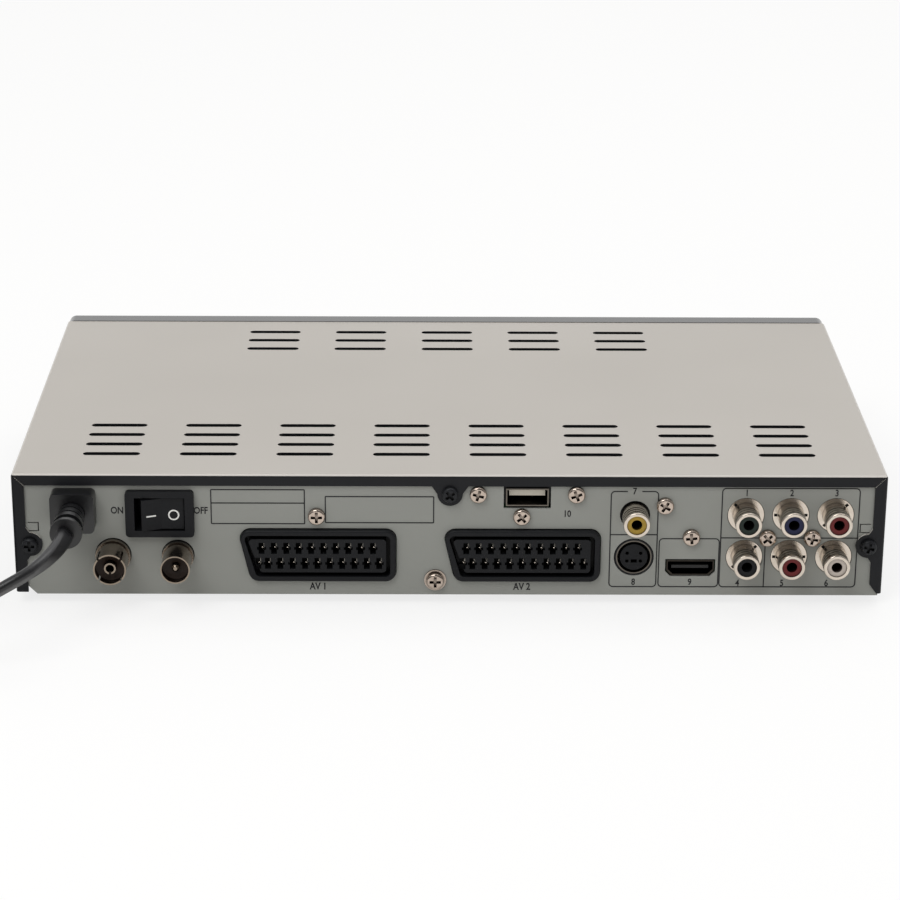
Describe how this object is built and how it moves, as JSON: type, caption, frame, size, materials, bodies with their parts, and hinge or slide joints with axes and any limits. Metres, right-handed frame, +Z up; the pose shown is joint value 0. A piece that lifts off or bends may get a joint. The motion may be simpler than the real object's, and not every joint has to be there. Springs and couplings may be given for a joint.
{
  "type": "recording set-top box",
  "caption": "Low metal set-top box with vent slots, a rear wall of audio, video and aerial sockets, a mains rocker switch, front buttons and a captive coiled mains lead.",
  "frame": {"origin": "on the floor under the feet, below the middle of the box with its sockets and front buttons, without the mains lead", "axes": "+Z up, +X to the right seen from behind, the rear wall faces -Y and the front panel +Y"},
  "size_m": [0.386, 0.2131, 0.0432],
  "materials": {
    "cover_paint": "light satin paint on the top, black on the flanges",
    "wall_paint": "flat warm grey paint",
    "foot_rubber": "matt",
    "black_screw": "black oxide",
    "bright_screw": "zinc plate",
    "tinned_steel": "tin plate",
    "front_plastic": "gloss",
    "smoked_window": "smoked acrylic",
    "black_plastic": "satin",
    "circuit_board": "solder mask",
    "ribbon_grey": "vinyl",
    "bare_aluminium": "extruded",
    "capacitor_sleeve": "shrink sleeve",
    "ferrite": "ceramic ferrite",
    "fuse_glass": "clear",
    "nickel": "bright nickel plate",
    "contact_brass": "plated",
    "yellow_plastic": "moulded",
    "red_plastic": "moulded",
    "green_plastic": "moulded",
    "blue_plastic": "moulded",
    "white_plastic": "moulded",
    "wire_sleeve": "vinyl",
    "cord_vinyl": "soft vinyl",
    "tie_plastic": "nylon",
    "plug_vinyl": "moulded vinyl",
    "button_plastic": "moulded"
  },
  "bodies": {
    "box": {"top_cover": "cover_paint", "chassis": "wall_paint", "feet": "foot_rubber", "cover_screws": "black_screw", "panel_screws": "bright_screw", "board_screws": "bright_screw", "earth_lug": "tinned_steel", "front_panel": "front_plastic", "display_window": "smoked_window", "tact_switches": "black_plastic", "front_board": "circuit_board", "display_module": "black_plastic", "ir_receiver": "black_plastic", "ribbon_cable": "ribbon_grey", "main_board": "circuit_board", "power_board": "circuit_board", "chips": "black_plastic", "heatsinks": "bare_aluminium", "capacitors": "capacitor_sleeve", "transformer": "ferrite", "mains_choke": "ferrite", "fuse": "fuse_glass", "tuner_can": "tinned_steel", "antenna_in_socket": "nickel", "antenna_out_socket": "nickel", "antenna_contacts": "nickel", "av_socket_left": "black_plastic", "av_socket_right": "black_plastic", "av_contacts": "contact_brass", "data_socket": "tinned_steel", "data_bracket": "black_plastic", "digital_video_socket": "tinned_steel", "port_tongues": "black_plastic", "video_jack_housing": "black_plastic", "mini_din_shield": "tinned_steel", "phono_housing": "black_plastic", "phono_barrels": "nickel", "phono_insert_yellow": "yellow_plastic", "phono_inserts_red": "red_plastic", "phono_insert_green": "green_plastic", "phono_insert_blue": "blue_plastic", "phono_insert_black": "black_plastic", "phono_insert_white": "white_plastic", "switch_housing": "black_plastic", "switch_terminals": "contact_brass", "internal_wires": "wire_sleeve", "cord_grip": "cord_vinyl", "mains_cord": "cord_vinyl", "cord_coil": "cord_vinyl", "cord_tie": "tie_plastic", "mains_plug": "plug_vinyl", "plug_pins": "nickel"},
    "rocker": {"switch_rocker": "black_plastic"},
    "standby_key": {"standby_button": "button_plastic", "standby_plunger": "black_plastic"},
    "channel_up_key": {"channel_up_button": "button_plastic", "channel_up_plunger": "black_plastic"},
    "channel_down_key": {"channel_down_button": "button_plastic", "channel_down_plunger": "black_plastic"}
  },
  "joints": [
    {"name": "rocker_tilt", "type": "hinge", "parent": "box", "child": "rocker", "pos_m": [-0.0889, -0.0691, 0.03024], "axis": [0, 0, -1], "range_deg": [0, 20]},
    {"name": "standby_press", "type": "slide", "parent": "box", "child": "standby_key", "axis": [0, -1, 0], "range_m": [0, 0.0005], "stiffness_N_per_m": 1500},
    {"name": "channel_up_press", "type": "slide", "parent": "box", "child": "channel_up_key", "axis": [0, -1, 0], "range_m": [0, 0.0005], "stiffness_N_per_m": 1500},
    {"name": "channel_down_press", "type": "slide", "parent": "box", "child": "channel_down_key", "axis": [0, -1, 0], "range_m": [0, 0.0005], "stiffness_N_per_m": 1500}
  ]
}
